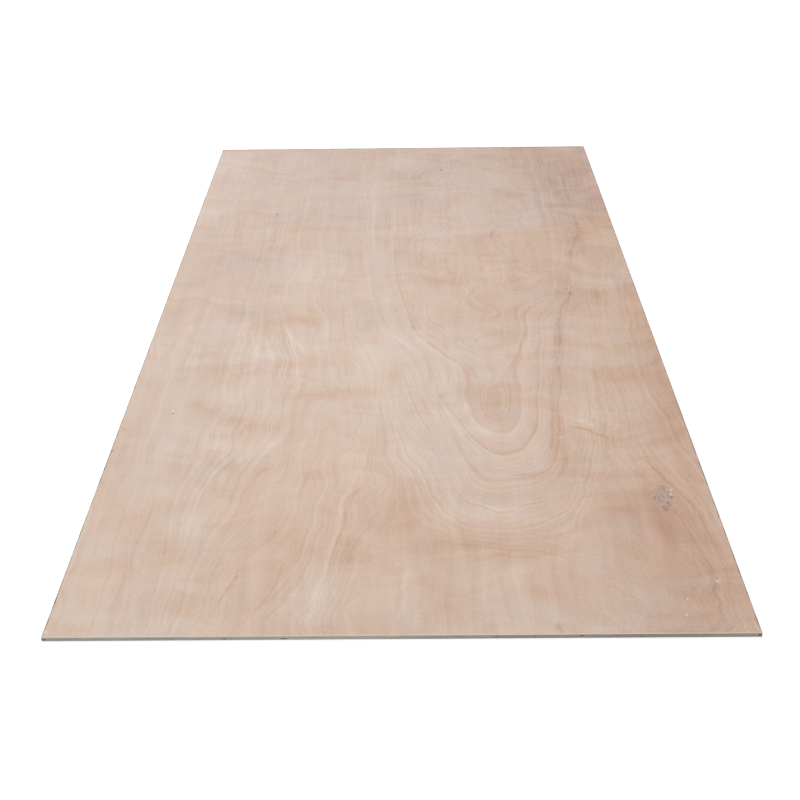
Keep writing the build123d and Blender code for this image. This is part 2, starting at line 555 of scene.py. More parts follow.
# The lines waver a little where the fibres dip: how far, and how often across and along a metre
WAVER, WAVER_ACROSS, WAVER_ALONG = 0.007, 19, 11
wavers = [
    [noise.noise((x * WAVER_ACROSS, y * WAVER_ALONG, layer)) for layer in (3.0, 9.0)]
    for x, y in points[:, :2]
]
figure_places = points[:, :2] + WAVER * np.array(wavers)
# The back veneer comes from further round the same log, so its figure runs the other way
BACK_TURN, BACK_SHIFT = [-0.85, -0.9], [0.02, 0.1]
log_places = figure_places.copy()
log_places[on_back] = log_places[on_back] * BACK_TURN + BACK_SHIFT
depth_in_log = growth(log_places)
SMALL_STEP = 0.002
slopes = [growth(log_places + step) - depth_in_log for step in ([SMALL_STEP, 0], [0, SMALL_STEP])]
carry("growth", depth_in_log)
carry("slope", np.hypot(*slopes) / SMALL_STEP)

# Soft tones of the top veneer: patches where the wood is deeper or paler, and warmer or cooler.
# Each one: x, y, half width, half length, deeper, warmer.
TONES = [
    (0.66, -0.20, 0.13, 1.00, 0.40, 0.40),
    (0.61, -0.90, 0.05, 0.14, -0.24, 0.0),
    (0.56, -1.00, 0.14, 0.28, 0.16, 0.10),
    (0.49, -1.04, 0.05, 0.04, -0.18, 0.0),
    (0.50, -1.21, 0.10, 0.04, 0.20, 0.0),
    (0.43, -0.62, 0.08, 0.40, 0.14, 0.20),
    (0.51, 0.90, 0.11, 0.38, 0.38, 0.10),
    (0.51, 1.14, 0.05, 0.04, -0.10, 0.0),
    (0.53, 0.72, 0.05, 0.05, 0.12, 0.0),
    (0.36, 1.16, 0.14, 0.10, 0.16, 0.20),
    (0.34, 1.02, 0.12, 0.06, 0.14, 0.20),
    (0.22, 0.84, 0.05, 0.05, -0.12, -0.30),
    (0.16, 1.00, 0.03, 0.08, -0.10, 0.0),
    (0.57, 0.56, 0.06, 0.06, 0.06, 0.55),
    (0.56, 0.45, 0.05, 0.08, -0.12, 0.10),
    (0.60, 0.75, 0.03, 0.05, 0.20, 0.10),
    (0.60, 1.03, 0.03, 0.05, 0.20, 0.0),
    (0.60, 1.20, 0.04, 0.06, 0.20, 0.0),
    (0.60, 0.22, 0.04, 0.07, -0.22, -0.50),
    (0.60, 0.02, 0.04, 0.04, -0.20, -0.40),
    (0.48, 0.44, 0.03, 0.10, 0.16, 0.20),
    (0.41, 0.10, 0.05, 0.16, 0.16, 0.0),
    (0.385, -0.16, 0.022, 0.10, 0.20, 0.10),
    (0.362, -0.32, 0.020, 0.08, 0.18, 0.20),
    (0.335, -0.50, 0.018, 0.10, 0.20, 0.20),
    (0.53, 0.16, 0.04, 0.05, -0.20, 0.0),
    (0.50, 0.08, 0.03, 0.06, 0.22, 0.10),
    (0.59, -0.05, 0.04, 0.20, 0.10, 0.50),
    (0.44, 0.10, 0.03, 0.05, 0.14, -0.40),
    (0.11, 0.165, 0.09, 0.03, 0.18, 0.40),
    (0.30, 0.12, 0.08, 0.06, 0.10, 0.30),
    (0.31, -0.05, 0.04, 0.04, 0.10, 0.10),
    (0.12, -0.03, 0.04, 0.04, 0.10, 0.10),
    (0.24, -0.15, 0.04, 0.05, 0.10, 0.30),
    (0.34, 0.27, 0.05, 0.04, 0.10, 0.10),
    (0.21, 0.215, 0.03, 0.025, -0.14, -0.10),
    (0.33, 0.42, 0.14, 0.12, 0.14, 0.40),
    (0.33, 0.56, 0.06, 0.07, -0.04, -0.50),
    (0.20, 0.39, 0.08, 0.05, 0.12, 0.0),
    (0.25, 0.00, 0.07, 0.05, 0.14, 0.30),
    (0.44, 0.22, 0.05, 0.05, 0.14, 0.30),
    (0.45, 0.62, 0.04, 0.12, 0.12, 0.10),
    (0.31, 0.80, 0.06, 0.05, 0.22, 0.20),
    (0.08, 0.38, 0.05, 0.05, -0.16, -0.10),
    (0.13, 0.48, 0.06, 0.06, -0.12, -0.10),
    (0.00, 0.42, 0.02, 0.08, 0.08, 0.30),
    (-0.05, 0.42, 0.008, 0.04, 0.20, 0.40),
    (0.00, 1.08, 0.05, 0.06, -0.14, -0.30),
    (-0.15, 0.84, 0.22, 0.06, -0.06, -0.25),
    (0.15, 0.95, 0.20, 0.20, 0.10, -0.10),
    (-0.15, 1.12, 0.20, 0.10, 0.02, -0.10),
    (0.10, 1.12, 0.05, 0.04, 0.12, 0.0),
    (0.28, 1.11, 0.05, 0.04, 0.12, 0.0),
    (0.00, 0.70, 0.15, 0.08, 0.06, 0.0),
    (0.05, 0.75, 0.05, 0.05, 0.12, 0.0),
    (-0.02, 0.91, 0.04, 0.05, 0.02, 0.40),
    (-0.02, 0.46, 0.04, 0.05, -0.14, -0.30),
    (-0.60, 1.00, 0.10, 0.35, -0.22, -0.10),
    (-0.47, 0.40, 0.10, 0.20, 0.10, 0.0),
    (-0.15, 0.62, 0.10, 0.03, 0.12, -0.20),
    (-0.42, 0.62, 0.10, 0.08, 0.08, 0.10),
    (-0.55, 0.63, 0.05, 0.06, -0.14, 0.0),
    (-0.43, 0.83, 0.05, 0.05, -0.14, -0.30),
    (-0.30, 0.46, 0.06, 0.08, 0.0, 0.35),
    (-0.36, 0.13, 0.05, 0.04, 0.14, 0.0),
    (-0.42, 0.30, 0.08, 0.08, 0.10, -0.20),
    (-0.24, 0.26, 0.08, 0.10, -0.12, 0.0),
    (-0.40, 0.00, 0.07, 0.05, 0.20, -0.30),
    (-0.58, 0.00, 0.03, 0.05, 0.12, 0.0),
    (-0.54, -0.19, 0.03, 0.04, 0.12, 0.10),
    (-0.53, 0.32, 0.04, 0.06, 0.12, 0.0),
    (-0.28, -0.05, 0.10, 0.03, 0.16, 0.50),
    (-0.08, 0.00, 0.025, 0.05, 0.16, 0.20),
    (-0.30, -0.17, 0.10, 0.06, -0.14, -0.10),
    (-0.31, -0.24, 0.05, 0.03, -0.22, -0.40),
    (-0.40, -0.34, 0.05, 0.10, 0.14, 0.30),
    (0.00, -0.15, 0.05, 0.07, -0.24, -0.10),
    (0.07, -0.17, 0.03, 0.06, -0.20, -0.25),
    (0.13, -0.27, 0.03, 0.05, -0.20, -0.25),
    (-0.05, 0.05, 0.03, 0.08, -0.16, -0.20),
    (-0.08, -0.25, 0.05, 0.09, -0.28, 0.0),
    (-0.16, -0.13, 0.03, 0.04, -0.12, 0.0),
    (0.04, -0.27, 0.03, 0.04, -0.12, 0.0),
    (-0.09, 0.60, 0.03, 0.45, -0.12, 0.0),
    (-0.11, 0.12, 0.04, 0.06, -0.14, 0.10),
    (-0.23, -0.27, 0.07, 0.03, 0.12, 0.60),
    (-0.16, -0.415, 0.10, 0.025, 0.22, 0.80),
    (-0.03, -0.33, 0.03, 0.03, 0.14, 0.30),
    (-0.04, -0.56, 0.018, 0.05, 0.16, 0.30),
    (-0.46, -0.46, 0.025, 0.02, 0.24, 0.30),
    (-0.415, -0.49, 0.035, 0.022, 0.24, 0.30),
    (-0.37, -0.525, 0.035, 0.022, 0.22, 0.30),
    (-0.325, -0.55, 0.035, 0.02, 0.20, 0.30),
    (-0.51, -0.42, 0.04, 0.05, -0.12, -0.30),
    (-0.49, -0.62, 0.04, 0.07, -0.12, -0.30),
    (-0.38, -0.625, 0.045, 0.02, -0.24, -0.20),
    (-0.282, -0.622, 0.014, 0.03, -0.26, 0.0),
    (-0.38, -0.70, 0.05, 0.02, 0.10, 0.10),
    (-0.31, -0.72, 0.04, 0.03, 0.12, 0.50),
    (-0.38, -0.42, 0.06, 0.04, -0.14, 0.0),
    (0.195, -0.43, 0.070, 0.05, 0.23, 0.40),
    (0.00, -0.40, 0.12, 0.20, -0.12, 0.0),
    (0.11, -0.50, 0.03, 0.08, -0.14, 0.0),
    (0.10, -0.62, 0.04, 0.04, -0.06, -0.50),
    (0.29, -0.54, 0.03, 0.05, 0.04, 0.50),
    (0.29, -0.31, 0.04, 0.05, 0.10, 0.10),
    (0.54, -0.34, 0.07, 0.05, 0.14, 0.30),
    (0.145, -0.33, 0.012, 0.06, 0.14, 0.30),
    (0.17, -0.57, 0.05, 0.02, -0.16, 0.0),
    (-0.21, -0.64, 0.04, 0.05, -0.14, 0.0),
    (0.39, -0.52, 0.03, 0.05, -0.18, 0.0),
    (0.44, -0.36, 0.05, 0.05, 0.10, 0.30),
    (0.325, -0.64, 0.022, 0.08, 0.22, 0.30),
    (0.43, -0.62, 0.06, 0.03, 0.06, 0.20),
    (0.42, -0.75, 0.06, 0.015, 0.16, 0.50),
    (0.425, -0.865, 0.04, 0.018, 0.18, 0.60),
    (0.565, -0.59, 0.04, 0.09, 0.18, 0.50),
    (-0.15, -0.85, 0.14, 0.25, 0.04, 0.40),
    (0.01, -0.85, 0.045, 0.09, 0.26, 0.50),
    (0.13, -0.875, 0.09, 0.03, -0.24, -0.20),
    (0.19, -1.07, 0.04, 0.03, -0.10, 0.0),
    (0.18, -0.97, 0.14, 0.045, 0.20, 0.50),
    (0.37, -0.90, 0.08, 0.03, 0.14, 0.0),
    (-0.41, -0.90, 0.04, 0.06, -0.24, -0.20),
    (-0.50, -0.90, 0.05, 0.05, 0.08, 0.20),
    (-0.47, -0.79, 0.06, 0.04, -0.14, -0.30),
    (-0.16, -1.07, 0.04, 0.05, -0.12, -0.50),
    (-0.29, -1.05, 0.04, 0.05, -0.12, 0.0),
    (-0.44, -0.985, 0.03, 0.03, 0.18, 0.30),
    (-0.56, -1.14, 0.04, 0.05, -0.12, 0.0),
    (-0.10, -0.99, 0.02, 0.04, 0.22, 0.40),
    (-0.145, -1.12, 0.02, 0.09, -0.18, -0.20),
    (-0.105, -0.68, 0.02, 0.09, -0.12, 0.0),
    (-0.38, -1.135, 0.03, 0.025, 0.14, 0.10),
    (-0.45, -1.13, 0.05, 0.04, 0.0, -0.40),
    (-0.13, -1.20, 0.03, 0.02, 0.18, 0.40),
    (0.08, -1.15, 0.05, 0.04, 0.12, 0.60),
    (0.25, -1.09, 0.06, 0.06, 0.12, 0.30),
    (0.40, -1.05, 0.08, 0.15, 0.10, -0.10),
    (0.52, -0.84, 0.06, 0.10, 0.18, 0.40),
    (0.51, -1.05, 0.06, 0.15, 0.20, 0.20),
    (0.00, -1.00, 0.90, 0.35, 0.02, 0.30),
    (0.00, 1.00, 1.20, 0.65, 0.13, -0.22),
    (0.32, -0.02, 0.14, 0.32, 0.06, 0.0),
    (0.47, 0.34, 0.08, 0.09, 0.09, 0.0),
    (0.53, 0.11, 0.05, 0.18, 0.08, 0.0),
    (0.50, -0.89, 0.09, 0.10, 0.09, 0.0),
    (0.07, 0.11, 0.04, 0.04, 0.12, 0.0),
    (-0.57, 0.70, 0.05, 0.12, -0.09, 0.0),
    (-0.36, 1.05, 0.10, 0.10, -0.07, -0.10),
    (0.14, 0.92, 0.06, 0.09, -0.07, 0.0),
    (0.48, 0.98, 0.07, 0.12, -0.07, -0.10),
    (0.43, 1.07, 0.06, 0.05, 0.08, 0.20),
    (0.38, 0.70, 0.07, 0.08, 0.0, -0.30),
    (-0.20, 0.76, 0.05, 0.08, 0.0, -0.15),
    (-0.32, 0.78, 0.06, 0.06, 0.0, 0.25),
    (-0.12, 1.11, 0.10, 0.07, 0.0, 0.25),
    (0.02, 0.52, 0.05, 0.06, 0.0, 0.30),
    (-0.23, 0.09, 0.07, 0.07, 0.0, 0.30),
    (0.57, 0.03, 0.04, 0.06, 0.0, -0.25),
    (0.12, -0.95, 0.05, 0.05, 0.06, 0.25),
    (-0.52, -0.96, 0.04, 0.05, 0.09, 0.0),
    (-0.15, -0.50, 0.38, 0.32, -0.05, 0.0),
    (-0.45, -1.15, 0.10, 0.12, -0.06, 0.0),
    (-0.46, -0.72, 0.06, 0.06, -0.08, 0.0),
    (0.25, 0.20, 0.25, 0.35, 0.03, 0.20),
]
# Where the rings show clearly: x, y, half width, half length, how clearly
CLEAR = [
    (0.20, -0.62, 0.20, 0.22, 1.0),
    (0.05, -0.25, 0.10, 0.25, 0.8),
    (-0.04, 0.30, 0.06, 0.60, 0.4),
    (0.37, -0.25, 0.08, 0.45, 0.8),
    (0.52, -0.85, 0.10, 0.35, 0.5),
    (-0.28, -0.20, 0.12, 0.25, 0.35),
    (-0.25, -0.95, 0.15, 0.25, 0.5),
]


def patches(spots):
    """What soft patches add up to at each point of the top face."""
    spots = np.array(spots)
    away = ((points[:, None, :2] - spots[None, :, :2]) / spots[None, :, 2:4]) ** 2
    return (np.exp(-away.sum(2)) @ spots[:, 4:]) * ~on_back[:, None]


tones = patches(TONES)
carry("clear", patches(CLEAR)[:, 0] + 0.25 * on_back)

# Growth lines that stand out, and three pale strokes on the left that are painted glints. Each
# has a sharp side and fades away on the other: the line's points, the width of its core (more than
# 0 where it fades to the left of the line as drawn), how dark it is (less than 0 is pale), and how
# warm.
LINES = [
    # Round the point of the inner V and down the outside of its left half
    ([(-0.03, 0.60), (-0.025, 0.40), (-0.023, 0.25), (-0.012, 0.12), (0.004, 0.06),
      (0.015, -0.015), (0.023, -0.077), (0.042, -0.138), (0.073, -0.192), (0.104, -0.235),
      (0.13, -0.275), (0.148, -0.30), (0.152, -0.335), (0.15, -0.40)], 0.0025, 0.20, 0.2),
    ([(0.08, -0.185), (0.11, -0.23), (0.15, -0.265), (0.167, -0.30), (0.18, -0.333),
      (0.193, -0.38), (0.205, -0.395), (0.217, -0.36), (0.227, -0.333), (0.247, -0.30),
      (0.253, -0.26), (0.273, -0.22), (0.288, -0.155), (0.296, -0.09), (0.296, -0.015),
      (0.312, 0.019), (0.342, 0.038), (0.378, 0.077), (0.388, 0.108), (0.408, 0.19),
      (0.42, 0.254)], 0.003, -0.17, -0.1),
    ([(0.233, -0.347), (0.258, -0.305), (0.262, -0.27), (0.285, -0.21), (0.298, -0.13),
      (0.306, -0.04), (0.319, 0.0), (0.345, 0.022), (0.385, 0.06)], -0.003, 0.20, 0.5),
    # Round the U, from the inside out
    ([(0.135, -0.40), (0.147, -0.467), (0.153, -0.533), (0.18, -0.573), (0.213, -0.587),
      (0.24, -0.58), (0.253, -0.533), (0.262, -0.47)], -0.005, -0.15, 0.0),
    ([(0.055, -0.27), (0.07, -0.35), (0.08, -0.42), (0.10, -0.48), (0.12, -0.533),
      (0.14, -0.58), (0.16, -0.62), (0.18, -0.65), (0.2, -0.663), (0.227, -0.663),
      (0.253, -0.647), (0.273, -0.613), (0.287, -0.573), (0.293, -0.52), (0.3, -0.467),
      (0.307, -0.42), (0.315, -0.37), (0.312, -0.30)], 0.0025, 0.13, 0.1),
    ([(0.085, -0.455), (0.111, -0.54), (0.131, -0.59), (0.151, -0.632), (0.174, -0.667),
      (0.2, -0.679), (0.227, -0.679), (0.259, -0.66), (0.282, -0.62), (0.296, -0.575),
      (0.303, -0.50)], -0.0035, -0.17, 0.0),
    ([(0.077, -0.375), (0.08, -0.42), (0.085, -0.455)], 0.004, 0.26, -0.2),
    ([(0.06, -0.26), (0.062, -0.33), (0.066, -0.40)], 0.003, 0.14, 0.0),
    ([(0.05, -0.35), (0.062, -0.40), (0.08, -0.46), (0.10, -0.527), (0.12, -0.627),
      (0.133, -0.693), (0.153, -0.74), (0.18, -0.76), (0.213, -0.763), (0.23, -0.753),
      (0.24, -0.742), (0.273, -0.737), (0.305, -0.733)], 0.003, 0.16, 0.2),
    ([(0.013, -0.56), (0.033, -0.60), (0.06, -0.66), (0.08, -0.72), (0.093, -0.767),
      (0.09, -0.80), (0.107, -0.847), (0.14, -0.867)], 0.003, -0.18, 0.0),
    ([(0.118, -0.70), (0.127, -0.753), (0.135, -0.787), (0.153, -0.813), (0.193, -0.82),
      (0.235, -0.81)], 0.003, 0.13, -0.2),
    ([(0.13, -0.80), (0.15, -0.835), (0.175, -0.852), (0.21, -0.86), (0.25, -0.85)],
     -0.004, -0.16, -0.1),
    # Down the right side of the U
    ([(0.45, 0.24), (0.437, 0.17), (0.44, 0.10), (0.435, 0.06), (0.404, 0.01),
      (0.402, -0.03), (0.387, -0.09), (0.388, -0.15), (0.377, -0.20), (0.364, -0.25),
      (0.366, -0.30), (0.37, -0.38)], -0.004, 0.30, 0.0),
    ([(0.378, -0.10), (0.371, -0.16), (0.361, -0.21), (0.35, -0.28)], 0.003, 0.28, 0.0),
    ([(0.458, 0.04), (0.44, 0.01), (0.418, -0.03)], 0.004, 0.20, 0.3),
    ([(0.35, -0.33), (0.34, -0.40), (0.333, -0.467), (0.327, -0.533), (0.32, -0.60),
      (0.313, -0.653), (0.298, -0.71)], -0.004, 0.18, -0.2),
    ([(0.346, -0.48), (0.343, -0.573), (0.34, -0.613), (0.333, -0.68), (0.315, -0.76)],
     0.005, 0.22, 0.8),
    ([(0.507, 0.64), (0.506, 0.56), (0.504, 0.52), (0.488, 0.446), (0.465, 0.354),
      (0.454, 0.292), (0.45, 0.22)], 0.005, 0.22, 0.0),
    ([(0.506, 0.59), (0.506, 0.55), (0.502, 0.505)], 0.005, 0.26, 0.0),
    ([(0.46, 0.43), (0.442, 0.33), (0.427, 0.27), (0.415, 0.2), (0.395, 0.13)],
     0.003, -0.15, 0.0),
    # A pitch streak, and the long bend past the knot
    ([(0.264, 0.525), (0.257, 0.49), (0.252, 0.45)], 0.006, 0.50, -0.1),
    ([(0.47, 0.15), (0.475, 0.0), (0.474, -0.10), (0.477, -0.2), (0.479, -0.3),
      (0.487, -0.367), (0.49, -0.467), (0.488, -0.6), (0.496, -0.643), (0.505, -0.693),
      (0.521, -0.743), (0.546, -0.793), (0.560, -0.829), (0.571, -0.879), (0.580, -0.95),
      (0.585, -1.021), (0.585, -1.093), (0.58, -1.17)], -0.0025, 0.17, 0.2),
    ([(0.497, -0.58), (0.505, -0.645), (0.515, -0.693), (0.531, -0.743), (0.556, -0.793),
      (0.570, -0.829), (0.581, -0.879), (0.590, -0.96)], 0.002, -0.16, 0.0),
    # The cut across the grain beside the U
    ([(0.355, -0.557), (0.385, -0.563), (0.403, -0.572), (0.42, -0.593), (0.45, -0.609)],
     -0.004, 0.42, 0.6),
    ([(0.375, -0.535), (0.395, -0.545), (0.415, -0.565)], 0.006, -0.30, 0.0),
    # Down the left side
    ([(-0.088, 0.80), (-0.088, 0.55), (-0.083, 0.40), (-0.08, 0.2)], 0.005, -0.11, 0.0),
    ([(-0.088, 0.33), (-0.085, 0.25), (-0.078, 0.12), (-0.06, 0.0), (-0.04, -0.08),
      (-0.02, -0.12)], 0.0025, 0.13, 0.0),
    ([(-0.05, -0.09), (-0.02, -0.146), (0.005, -0.18), (0.035, -0.22)], 0.005, -0.28, 0.0),
    # Painted glints: these three pale strokes are highlights painted into the wood's colour.
    ([(-0.283, -0.09), (-0.276, -0.13), (-0.264, -0.165), (-0.24, -0.20), (-0.225, -0.24)],
     0.0045, -0.26, 0.0),
    ([(-0.333, -0.15), (-0.325, -0.20), (-0.316, -0.23), (-0.304, -0.265)], 0.004, -0.22, 0.0),
    ([(-0.37, -0.08), (-0.363, -0.16), (-0.355, -0.24)], 0.004, -0.16, 0.0),
    ([(-0.215, -0.26), (-0.228, -0.32), (-0.234, -0.42), (-0.238, -0.52), (-0.246, -0.64)],
     0.004, 0.16, 0.4),
    ([(-0.155, 0.03), (-0.146, -0.10), (-0.14, -0.22), (-0.13, -0.32), (-0.122, -0.41)],
     0.003, 0.14, 0.3),
    ([(-0.306, -0.49), (-0.318, -0.525), (-0.342, -0.55), (-0.346, -0.61)], 0.003, 0.16, 0.0),
    ([(-0.338, -0.64), (-0.352, -0.69), (-0.378, -0.726), (-0.394, -0.798), (-0.40, -0.88)],
     0.003, 0.20, -0.2),
    ([(-0.238, -0.645), (-0.246, -0.694), (-0.29, -0.726), (-0.31, -0.774), (-0.318, -0.83),
      (-0.33, -0.91), (-0.345, -0.98)], 0.004, 0.14, 0.4),
    ([(-0.205, -0.82), (-0.212, -0.86), (-0.226, -0.902), (-0.25, -0.95), (-0.29, -1.014),
      (-0.306, -1.07), (-0.318, -1.14)], 0.003, 0.14, 0.3),
    ([(-0.162, -0.85), (-0.182, -0.942), (-0.194, -1.03), (-0.214, -1.102),
      (-0.258, -1.166), (-0.298, -1.214)], 0.0025, 0.13, 0.3),
    ([(-0.075, -0.62), (-0.088, -0.73), (-0.106, -0.80), (-0.119, -0.87), (-0.127, -0.95),
      (-0.140, -1.05), (-0.148, -1.14), (-0.168, -1.21)], -0.006, -0.22, 0.0),
    ([(-0.075, -0.74), (-0.095, -0.80), (-0.109, -0.86), (-0.118, -0.95), (-0.13, -1.03)],
     0.003, 0.20, 0.3),
    ([(-0.165, -0.53), (-0.172, -0.62), (-0.185, -0.70), (-0.198, -0.77), (-0.203, -0.85)],
     0.004, 0.20, 0.4),
    ([(-0.212, -0.98), (-0.222, -1.08), (-0.245, -1.14), (-0.29, -1.20)], 0.003, 0.16, 0.3),
    ([(-0.30, -1.03), (-0.308, -1.09), (-0.33, -1.18)], 0.003, 0.14, 0.3),
    ([(-0.075, -1.00), (-0.095, -1.08), (-0.106, -1.16)], 0.004, -0.20, 0.0),
    ([(0.014, -1.02), (0.002, -1.10), (-0.005, -1.19)], 0.006, -0.20, 0.0),
    ([(-0.486, -0.80), (-0.49, -0.91), (-0.494, -0.99), (-0.502, -1.07), (-0.506, -1.2)],
     0.0025, 0.14, 0.0),
]
LINE_REACH = 0.017  # the points this near to a line carry it: a cell's diagonal
LINE_ROOM = 2 * LINE_REACH  # how far out from a line the distance to it is known
LINES_APART = 2 * LINE_ROOM  # lines that come nearer to each other are kept in other fields
LINE_ENDS = 0.2  # share of a line over which it comes up from nothing


def rounded(line):
    """A line with its corners cut, three times over."""
    line = np.array(line, float)
    for cut in range(3):
        first, second = line[:-1], line[1:]
        between = np.stack([first * 0.75 + second * 0.25, first * 0.25 + second * 0.75], 1)
        line = np.concatenate([line[:1], between.reshape(-1, 2), line[-1:]])
    return line


def measured(line, places):
    """How far each place is to the left of a line, and how far along it, from 0 to 1."""
    steps = np.diff(line, axis=0)
    lengths = np.hypot(*steps.T)
    away = places[:, None] - line[None, :-1]
    share = np.clip((away * steps).sum(2) / lengths ** 2, 0, 1)
    square = ((away - share[..., None] * steps) ** 2).sum(2)
    row, near = np.arange(len(places)), square.argmin(1)
    turn = steps[near, 0] * away[row, near, 1] - steps[near, 1] * away[row, near, 0]
    before = np.r_[0, lengths.cumsum()]
    along = (before[near] + share[row, near] * lengths[near]) / before[-1]
    return np.sqrt(square[row, near]) * np.sign(turn), along


fields = []  # each: the lines in it, how far off its line each point is, and how dark it is
for drawn, width, dark, warm in LINES:
    line = rounded(drawn)
    inside = (points[:, :2] > line.min(0) - LINE_ROOM) & (points[:, :2] < line.max(0) + LINE_ROOM)
    close = np.flatnonzero(inside.all(1) & ~on_back)
    off, along = measured(line, figure_places[close])
    strength = (abs(off) < LINE_REACH) * np.clip(np.minimum(along, 1 - along) / LINE_ENDS, 0, 1)
    for lines, offs, darks in fields:
        if all(np.hypot(*(line[:, None] - other).T).min() > LINES_APART for other in lines):
            break
    else:
        lines, offs, darks = [], np.full(len(points), 9.0), np.zeros(len(points))
        fields.append((lines, offs, darks))
    lines.append(line)
    known = abs(off) < LINE_ROOM
    offs[close[known]] = off[known] / width
    darks[close] += strength * dark
    tones[close, 1] += strength * warm * np.exp(-(off / LINE_REACH) ** 2)
for index, (lines, offs, darks) in enumerate(fields):
    carry(f"line_{index}", offs)
    carry(f"dark_{index}", darks)
carry("deeper", tones[:, 0])
carry("warmer", tones[:, 1])

# How dark the rings are by their depth in the log: each one starts sharply and fades outwards
RING_EDGES = [-0.28, -0.22, -0.16, -0.10, -0.04, 0.0, 0.025]
RING_DARK = [0.56, 0.56, 0.57, 0.60, 0.60, 0.55, 0.57]
RING_RANGE = (-0.34, 0.10)


def ring_stops():
    """The stops of a ramp that runs over RING_RANGE."""
    start, end = RING_RANGE
    for edge, dark in zip(RING_EDGES, RING_DARK):
        for past, shade in ((-0.004, 0.38), (0.0, dark), (0.008, dark - 0.06), (0.020, 0.48)):
            yield (edge + past - start) / (end - start), (shade, shade, shade, 1)


# Marks on the top face: grey and dark flecks and dots, reddish spots at the knot and near its
# near end, and white flecks of filler. Each mark: x, y and radius.
DARK_MARKS = [
    (-0.3746, 0.6431, 0.006), (0.4280, 0.1180, 0.004), (0.4360, 0.0900, 0.005),
    (0.1246, 1.0082, 0.0065),
    (0.4966, -0.8241, 0.004), (0.5044, -0.8242, 0.003), (0.5091, -0.8555, 0.0045),
    (0.5176, -0.8530, 0.003), (0.5118, -0.8654, 0.004), (0.5199, -0.8404, 0.0035),
    (0.5180, -0.7860, 0.0035), (0.5205, -0.7945, 0.0030), (0.5300, -0.8230, 0.004),
    (0.4550, -0.4950, 0.003), (-0.5050, -0.4940, 0.003), (-0.2300, -0.3700, 0.003),
    (0.5655, -1.0755, 0.003), (-0.6085, -0.6426, 0.0055), (-0.2945, -1.0600, 0.002),
]
PALE_MARKS = [
    (0.5341, -0.7977, 0.0035), (0.5301, -0.8150, 0.0045), (0.3081, 1.0513, 0.005),
    (0.4370, 0.1250, 0.003), (-0.2945, -1.0515, 0.0025), (-0.1897, -1.1113, 0.0025),
    (0.5014, -1.1305, 0.0025), (0.4915, -1.1725, 0.0022), (0.3350, -0.6050, 0.003),
    (-0.5050, -0.4830, 0.003), (-0.6050, -1.2046, 0.004), (0.5645, -1.0825, 0.004),
]
RED_MARKS = [
    (0.5249, -0.8075, 0.006), (0.5080, -0.8660, 0.004),
    (0.2690, -1.2010, 0.0085), (0.2730, -1.2130, 0.0045),
]
MARK_STRETCH = 0.6  # a mark is longer along the grain than across it


# Finishes. The faces are sanded bare wood, with no stain or lacquer, so they are dull and show
# their fibres. The edges are as the saw left them: each veneer shows its end grain or its side
# in turn, between dark glue lines. A core gap is raw and dusty inside, and the shade inside it is
# painted into its colour.
class Veneer(Paint):
    """The paint of a veneer: where a place on it is, and its noise and colours."""

    def __init__(self, name):
        super().__init__(bpy.data.materials.new(name))

    def place(self):
        """The x, y and z of the surface in metres, and all three as one vector."""
        at = self.node("ShaderNodeTexCoord", output="Object")
        return (*self.node("ShaderNodeSeparateXYZ", None, {0: at}, (0, 1, 2)), at)

    def vector(self, x, y, z=0.0):
        return self.node("ShaderNodeCombineXYZ", None, {0: x, 1: y, 2: z})

    def read(self, name):
        return self.node("ShaderNodeAttribute", {"attribute_name": name}, output="Fac")

    def noise(self, at, detail=2.0, roughness=0.5, scale=1.0, wide="3D"):
        """Soft random values about 0. In 1D, at is a single value."""
        place = "W" if wide == "1D" else "Vector"
        sockets = {place: at, "Scale": scale, "Detail": detail, "Roughness": roughness}
        return self.node("ShaderNodeTexNoise", {"noise_dimensions": wide}, sockets) - 0.5

    def noise_over(self, x, y, often, layer=0.0, detail=2.0, roughness=0.5):
        """Noise, given how often it changes in a metre across and along the sheet."""
        across, along = often
        return self.noise(self.vector(x * across, y * along, layer), detail, roughness)

    def colours(self, value, stops):
        """Colours by a value from 0 to 1."""
        return self.node("ShaderNodeValToRGB", {"stops": stops}, {0: value})

    def mix(self, share, first, second, blend="MIX"):
        """A colour between two others, or the first with the second laid over it."""
        settings = {"data_type": "RGBA", "clamp_factor": True, "blend_type": blend}
        return self.node("ShaderNodeMix", settings, {0: share, 6: first, 7: second}, output=2)

    def marks(self, at, spots):
        """1 on each of some small spots and 0 off them."""
        wobble = self.noise(at, scale=140.0) * 0.008
        terms = {0: at, 1: (1, MARK_STRETCH, 0), 2: self.vector(wobble, wobble)}
        place = self.node("ShaderNodeVectorMath", {"operation": "MULTIPLY_ADD"}, terms)
        total = 0.0
        for x, y, radius in spots:
            apart = {0: place, 1: (x, y * MARK_STRETCH, 0)}
            away = self.node("ShaderNodeVectorMath", {"operation": "DISTANCE"}, apart, "Value")
            total = away.ramp(radius, radius * 0.4) + total
        return total

    def finish(self, colour, roughness, bump=None):
        self.feed(self.shader.inputs["Base Color"], colour)
        self.feed(self.shader.inputs["Roughness"], roughness)
        if bump:
            self.feed(self.shader.inputs["Normal"], bump)
        return self.painted


COOL_WOOD = [
    (0.0, linear(223, 207, 194)),
    (0.35, linear(212, 193, 180)),
    (0.65, linear(201, 180, 166)),
    (1.0, linear(178, 152, 138)),
]
WARM_WOOD = [
    (0.0, linear(226, 206, 188)),
    (0.35, linear(216, 189, 168)),
    (0.65, linear(204, 172, 149)),
    (1.0, linear(186, 148, 124)),
]
BLUSH = (1.0, 0.95, 1.0, 1.0)  # what the pinker wood keeps of the light


